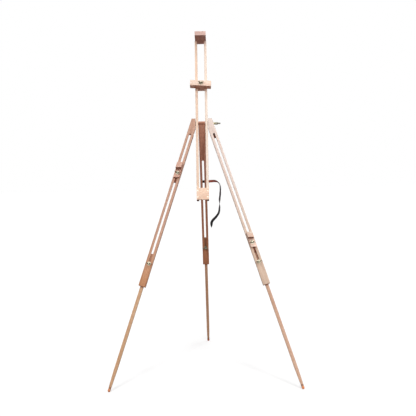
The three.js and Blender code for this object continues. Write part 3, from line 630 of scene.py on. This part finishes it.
# ---------------------------------------------------------------- canvas pegs
# A beech block with a ledge for the canvas on the front of each front leg, and a slide in the leg's
# groove behind it whose tongue fills the slot, coloured dark as painted shade. One bolt clamps the leg between
# them.
LEDGE_END = 36 * MM  # the ledge's lower edge, below the peg's highest corner
LEDGE_BLUR = 2 * MM


def ledge_tint(side, over):
    """A tint over the ledge and what is above it, which takes the ledge back down from the painted light that the
    peg's raised colours give the body below it.
    """
    end = reach_along(side + "_peg", Vector((0, 0, 1)))[1] - LEDGE_END
    return end + LEDGE_BLUR, end - LEDGE_BLUR, over


# The slides are coloured dark as painted shade in the slot.
slide_painted_shade = beech("peg slides, painted shade", mast_up, "#63392a", "#7d4b38", "#915e48", "#4c2a20", 0.65)
# The pegs' colours are raised as painted light on the body below the ledge, where the ledge casts its shadow; the
# tint takes the ledge itself back down.
peg_beech_painted_light = {
    "left": beech("pink beech peg, painted light below its ledge", ACROSS, "#d29c86", "#e7b9a4", "#f4d2c4", "#b57960",
                  tint=ledge_tint("left", "#ededec")),
    "right": beech("pale beech peg, painted light below its ledge", ACROSS, "#efbea8", "#ffe1ce", "#fffaed", "#d19881",
                   tint=ledge_tint("right", "#e5e3e0")),
}
for side in leg_up:
    rounded(side + "_peg", BLOCK_EDGE, peg_beech_painted_light[side])
    rounded(side + "_peg_slide", RAIL_EDGE, slide_painted_shade)


# ---------------------------------------------------------------- rear leg
# The same slotted bar and square lower leg, with its top rounded about the head bolt between the
# rails. It leans the other way, so its front is in shade.
TOP_STARTS, TOP_CROWN = 0.05, 0.77  # how far a face of the round top looks up along the leg


def painted_shade_below_crown(middle, normal):
    """The front of the round top, from where it starts to curve back up to its crown, which gets painted shade."""
    return TOP_STARTS < normal.dot(rear_up) < TOP_CROWN and normal.dot(rear_back) < 0


rear_beech = beech("tan beech rear leg", rear_up, "#ad7964", "#c6927b", "#d5a590", "#905e49",
                   tint=(0.75, 1, "#fff0d8"))
rear_lower_beech = beech("tan beech lower rear leg", rear_up, "#bf9473", "#d5aa89", "#e4bea1",
                         "#a17354")
# The rear leg's slot walls are darker as painted shade.
rear_slot_painted_shade = beech("rear slot walls, painted shade", rear_up, "#4e2c22", "#643b2d", "#774a39", "#40231a", 0.65)
rear_upper = rounded("rear_upper_leg", RAIL_EDGE, rear_beech)
painted_slot_walls(rear_upper, rear_up, rear_back, rear_slot_painted_shade)
# The front of the round top is coloured brown as painted shade, up to its crown.
painted(rear_upper, strip_beech_and_painted_shade, painted_shade_below_crown)
rear_lower = rounded("rear_lower_leg", RAIL_EDGE, rear_lower_beech)
planed_foot(rear_lower, rear_up)
shaded_head(rear_lower, rear_up, head_painted_shade)
rounded("rear_back_strip", RAIL_EDGE, strip_beech_and_painted_shade)


# ---------------------------------------------------------------- foot tips
# Moulded plastic: a collar against the wood, a short waist and a round end, with a spigot that
# plugs into the leg. The mould leaves it smooth, with a faint waxy gloss, and use scuffs it.
TIP_R = 6.5 * MM
TIP_ROUND = 17 * MM  # from the wood to the middle of the round end
SPIGOT_R = 4 * MM
SPIGOT_LENGTH = 9 * MM
TIP_BALL = 13 * MM  # from its lowest point; above this it is brown
TIP_EDGE = 0.4 * MM
SPIGOT_EDGE = 0.8 * MM


def moulded_plastic(name, dark, pale):
    """Moulded polythene: an even colour with slight clouding, scuffed duller in patches."""
    material = new_material(name)
    tree = material.node_tree
    place = add(tree, "TexCoord").outputs["Object"]
    cloud = add(tree, "TexNoise", {"Vector": place, "Scale": 1 / (9 * MM), "Detail": 3})
    scuff = add(tree, "TexNoise", {"Vector": place, "Scale": 1 / (1.2 * MM), "Detail": 2})
    colour = add(tree, "ValToRGB", {"Fac": cloud.outputs["Fac"]}, [(0.35, dark), (0.65, pale)])
    gloss = add(tree, "MapRange", {"Value": scuff.outputs["Fac"], "To Min": 0.32, "To Max": 0.62})
    relief = add(tree, "Bump", {"Strength": 0.2, "Distance": 0.08 * MM,
                                "Height": scuff.outputs["Fac"]})
    shader = add(tree, "BsdfPrincipled", {
        "Base Color": colour.outputs["Color"], "Roughness": gloss.outputs["Result"], "IOR": 1.5,
        "Normal": relief.outputs["Normal"]})
    add(tree, "OutputMaterial", {"Surface": shader.outputs["BSDF"]})
    return material


def foot_tip(node, up, material, collar):
    """From the round end's lowest point at z = 0 up to the wood, and on to the spigot's end."""
    wood = TIP_ROUND + TIP_R
    plug = wood + SPIGOT_LENGTH
    ball = [(TIP_R * math.sin(math.radians(a)), TIP_R * (1 - math.cos(math.radians(a))))
            for a in range(0, 91, 9)]
    waist = [(TIP_R * 0.96, wood - 9 * MM), (TIP_R * 0.9, wood - 5.5 * MM),
             (TIP_R * 0.92, wood - 4 * MM)]
    flange = [(TIP_R, wood - 3.6 * MM), (TIP_R, wood - TIP_EDGE), (TIP_R - TIP_EDGE, wood)]
    spigot = [(SPIGOT_R, wood), (SPIGOT_R, plug - SPIGOT_EDGE), (SPIGOT_R - SPIGOT_EDGE, plug),
              (0, plug)]
    profile = ball + waist + flange + spigot
    tip = turned(node + "_moulded", profile, material)
    painted(tip, collar, lambda middle, normal: middle.z > TIP_BALL)
    seated(tip, node, up)


brown_collar = moulded_plastic("brown collar", "#8c5f43", "#a67653")
tip_plastic = {
    "left": moulded_plastic("sand plastic", "#c47d4f", "#d99364"),
    "right": moulded_plastic("orange plastic", "#da834e", "#eb9a63"),
    "rear": moulded_plastic("brown plastic", "#b3522d", "#cf663a"),
}
for leg, material in tip_plastic.items():
    foot_tip(leg + "_foot_tip", leg_up.get(leg, rear_up), material, brown_collar)


# ---------------------------------------------------------------- wood screws
# Countersunk steel screws, zinc plated, with a cross recess: two down through the cap, four through
# the bottom board and one through the strap's end into the rear leg.
CAP_SCREW = (2.2 * MM, 4.5 * MM, 3 * MM)  # radii of the shank and the head, and the head's height
BOARD_SCREW = (1.5 * MM, 3.2 * MM, 2 * MM)
STRAP_SCREW = (1.5 * MM, 3.4 * MM, 1.6 * MM)
SCREW_PITCH = 1.6 * MM
SCREW_PLAIN = 0.35  # this share of a screw's length has no thread
RECESS_DEPTH = 0.55  # of the head's height


def plain_metal(name, dark, pale, roughness, metallic=1):
    """Zinc plate, cast zinc or brass: a soft shine, clouded and a little yellowed by handling."""
    material = new_material(name)
    tree = material.node_tree
    place = add(tree, "TexCoord").outputs["Object"]
    cloud = add(tree, "TexNoise", {"Vector": place, "Scale": 1 / (6 * MM), "Detail": 4})
    colour = add(tree, "ValToRGB", {"Fac": cloud.outputs["Fac"]}, [(0.35, dark), (0.65, pale)])
    spangle = add(tree, "TexNoise", {"Vector": place, "Scale": 1 / (0.8 * MM), "Detail": 2})
    gloss = add(tree, "MapRange", {"Value": cloud.outputs["Fac"], "To Min": roughness - 0.08,
                                   "To Max": roughness + 0.12})
    relief = add(tree, "Bump", {"Strength": 0.15, "Distance": 0.05 * MM,
                                "Height": spangle.outputs["Fac"]})
    shader = add(tree, "BsdfPrincipled", {
        "Base Color": colour.outputs["Color"], "Roughness": gloss.outputs["Result"],
        "Metallic": metallic, "Normal": relief.outputs["Normal"]})
    add(tree, "OutputMaterial", {"Surface": shader.outputs["BSDF"]})
    return material


def settled(piece):
    """Applies a piece's modifiers, so that its finished mesh can be shared."""
    evaluated = piece.evaluated_get(bpy.context.evaluated_depsgraph_get())
    data = bpy.data.meshes.new_from_object(evaluated)
    piece.modifiers.clear()
    piece.data = data
    return piece


def cross_recess(size, depth):
    """The tool that presses the cross into a screw's head, its arms narrowing as they go down."""
    mesh = bmesh.new()
    arm, long = size * 0.13, size * 0.62
    outline = [(arm, arm), (arm, long), (-arm, long), (-arm, arm), (-long, arm), (-long, -arm),
               (-arm, -arm), (-arm, -long), (arm, -long), (arm, -arm), (long, -arm), (long, arm)]
    top = [mesh.verts.new((x, y, -depth)) for x, y in outline]
    foot = [mesh.verts.new((x * 0.45, y * 0.45, depth)) for x, y in outline]
    mesh.faces.new(top)
    mesh.faces.new(list(reversed(foot)))
    for i in range(len(outline)):
        j = (i + 1) % len(outline)
        mesh.faces.new((top[j], top[i], foot[i], foot[j]))
    bmesh.ops.recalc_face_normals(mesh, faces=mesh.faces)
    return into_object(mesh, "recess_tool", [])


def wood_screw(node, axis, r, head_r, head, material):
    """Head at z = 0, cone, then a shank with rings of thread down to its point."""
    low, high = reach_along(node, axis)
    length = high - low
    place = length * SCREW_PLAIN
    profile = [(0, 0), (head_r - 0.15 * MM, 0), (head_r, 0.15 * MM), (head_r, 0.35 * MM),
               (r, head), (r * 0.98, place)]
    while place + SCREW_PITCH < length - r * 1.5:
        profile += [(r * 0.78, place + SCREW_PITCH * 0.35), (r * 0.78, place + SCREW_PITCH * 0.6),
                    (r, place + SCREW_PITCH)]
        place += SCREW_PITCH
    profile += [(r * 0.6, length - r), (0, length)]
    screw = turned(node + "_driven", profile, material)
    tool = cross_recess(head_r, head * RECESS_DEPTH)
    cutter = screw.modifiers.new("cross recess", "BOOLEAN")
    cutter.object = tool
    cutter.operation = "DIFFERENCE"
    cutter.solver = "EXACT"
    settled(screw)
    bpy.data.objects.remove(tool)
    seated(screw, node, axis)


screw_zinc = plain_metal("zinc plated screws", "#8f8a7c", "#b9b4a6", 0.4)
for side in ("left", "right"):
    wood_screw("cap_screw_" + side, -mast_up, *CAP_SCREW, screw_zinc)
    for level in ("upper", "lower"):
        wood_screw(f"board_screw_{side}_{level}", mast_back, *BOARD_SCREW, screw_zinc)
wood_screw("strap_screw", -rear_back, *STRAP_SCREW, screw_zinc)


# ---------------------------------------------------------------- bolts and washers
# Zinc plated machine bolts with low domed heads, their ends threaded for the wing nuts. The front
# legs turn on two of them, and the head bolt wears a washer and a brass sleeve before its nut.
HINGE_SCREW = (3 * MM, 6 * MM, 3 * MM, 14 * MM)  # as for a wood screw, with the thread's length
SMALL_BOLT = (3 * MM, 5.5 * MM, 3 * MM, 30 * MM)
HEAD_BOLT = (4 * MM, 5.8 * MM, 3.6 * MM, 45 * MM)
BOLT_PITCH = 1 * MM
BOLT_TIP = 0.8 * MM
SMALL_WASHER = (9 * MM, 3.3 * MM)
HEAD_WASHER = (7 * MM, 4.3 * MM)
HEAD_SLEEVE = (5.6 * MM, 4.3 * MM)


def machine_bolt(node, axis, r, head_r, head, thread, material):
    """A domed head at z = 0, a shank, and rings of thread over the last part of its length."""
    low, high = reach_along(node, axis)
    length = high - low
    dome = [(head_r * math.sin(math.radians(a)), head * 0.8 * (1 - math.cos(math.radians(a))))
            for a in range(15, 91, 15)]
    profile = [(0, 0)] + dome + [(head_r, head - 0.2 * MM), (head_r - 0.2 * MM, head), (r, head)]
    place = length - thread
    profile.append((r, place))
    while place + BOLT_PITCH < length - BOLT_TIP:
        profile += [(r * 0.86, place + BOLT_PITCH * 0.4), (r * 0.86, place + BOLT_PITCH * 0.55),
                    (r, place + BOLT_PITCH)]
        place += BOLT_PITCH
    profile += [(r * 0.8, length), (0, length)]
    seated(turned(node + "_threaded", profile, material), node, axis)


bolt_zinc = plain_metal("zinc plated bolts", "#7f7a68", "#a5a190", 0.4)
brass = plain_metal("turned brass", "#8a8260", "#a8a07c", 0.42, 0.8)
fastened = {"clamp": mast_forward, "rear_lock": -rear_back}
for side in leg_up:
    fastened[side + "_lock"] = mast_forward
    fastened[side + "_peg"] = mast_forward
    machine_bolt(side + "_hinge_screw", mast_forward, *HINGE_SCREW, bolt_zinc)
for name, axis in fastened.items():
    machine_bolt(name + "_bolt", axis, *SMALL_BOLT, bolt_zinc)
    washer(name + "_washer", axis, *SMALL_WASHER, bolt_zinc)
machine_bolt("head_bolt", ACROSS, *HEAD_BOLT, bolt_zinc)
washer("head_washer", ACROSS, *HEAD_WASHER, bolt_zinc)
washer("head_spacer", ACROSS, *HEAD_SLEEVE, brass)


# ---------------------------------------------------------------- wing nuts
# Cast zinc alloy, tumbled smooth: a coned hub with two wings that lean out from it. Six small
# ones clamp the legs, the pegs and the canvas clamp, and one large one clamps the head.
SMALL_NUT = {
    "hub_r": 5.5 * MM,
    "height": 10 * MM,
    "bore": 3.3 * MM,
    "wing_start": 2 * MM,
    "reach": 15 * MM,
    "rise": 16 * MM,
    "lobe": 5 * MM,
    "thick": 2.4 * MM,
    "grain": 0.45 * MM,
}
LARGE_NUT = {
    "hub_r": 6.8 * MM,
    "height": 14 * MM,
    "bore": 4.3 * MM,
    "wing_start": 9 * MM,
    "reach": 30 * MM,
    "rise": 25 * MM,
    "lobe": 7 * MM,
    "thick": 3 * MM,
    "grain": 0.6 * MM,
}


def cast_wing_nut(name, material, hub_r, height, bore, wing_start, reach, rise, lobe, thick, grain):
    """Hub and wings are melted into one casting, with every edge and corner softened. The wings
    reach out and rise to round lobes, and grain is the size of the casting's smallest detail."""
    nut = turned(name, [(bore, 0), (hub_r - 0.5 * MM, 0), (hub_r, 0.5 * MM), (hub_r, height * 0.3),
                        (hub_r * 0.82, height - 0.6 * MM), (hub_r * 0.74, height), (bore, height)],
                 material, ring=True)
    mesh = bmesh.new()
    mesh.from_mesh(nut.data)
    lobe_x, lobe_z = reach - lobe, rise - lobe
    inner = bore + 0.5 * MM
    outline = [(inner, wing_start), (hub_r, wing_start)]
    for a in range(-45, 136, 15):
        outline.append((lobe_x + lobe * math.cos(math.radians(a)),
                        lobe_z + lobe * math.sin(math.radians(a))))
    outline += [(hub_r * 0.7, height * 0.9), (inner, height * 0.9)]
    for way in (1, -1):
        plates = []
        for face in (1, -1):
            plates.append([mesh.verts.new((way * x, face * thick * (0.75 - 0.3 * x / reach), z))
                           for x, z in outline])
        mesh.faces.new(plates[0])
        mesh.faces.new(plates[1])
        for i in range(len(outline)):
            j = (i + 1) % len(outline)
            mesh.faces.new((plates[0][i], plates[0][j], plates[1][j], plates[1][i]))
    bmesh.ops.recalc_face_normals(mesh, faces=mesh.faces)
    bmesh.ops.triangulate(mesh, faces=mesh.faces)
    mesh.to_mesh(nut.data)
    mesh.free()
    melted = nut.modifiers.new("one casting", "REMESH")
    melted.mode = "VOXEL"
    melted.voxel_size = grain
    melted.use_smooth_shade = True
    tumbled = nut.modifiers.new("tumbled", "SMOOTH")
    tumbled.factor = 0.5
    tumbled.iterations = 5
    return settled(nut)


nut_zinc = plain_metal("cast zinc alloy", "#4f4833", "#948b75", 0.5, 0.6)
head_nut_zinc = plain_metal("dull cast zinc alloy", "#7a7767", "#999586", 0.42, 0.7)
small_nut = cast_wing_nut("small_wing_nut", nut_zinc, **SMALL_NUT)
for name, axis in fastened.items():
    nut = bpy.data.objects.new(name + "_nut_cast", small_nut.data)
    scene.collection.objects.link(nut)
    seated(nut, name + "_wing_nut", axis)
bpy.data.objects.remove(small_nut)
large_nut = cast_wing_nut("head_nut_cast", head_nut_zinc, **LARGE_NUT)
seated(large_nut, "head_wing_nut", ACROSS)
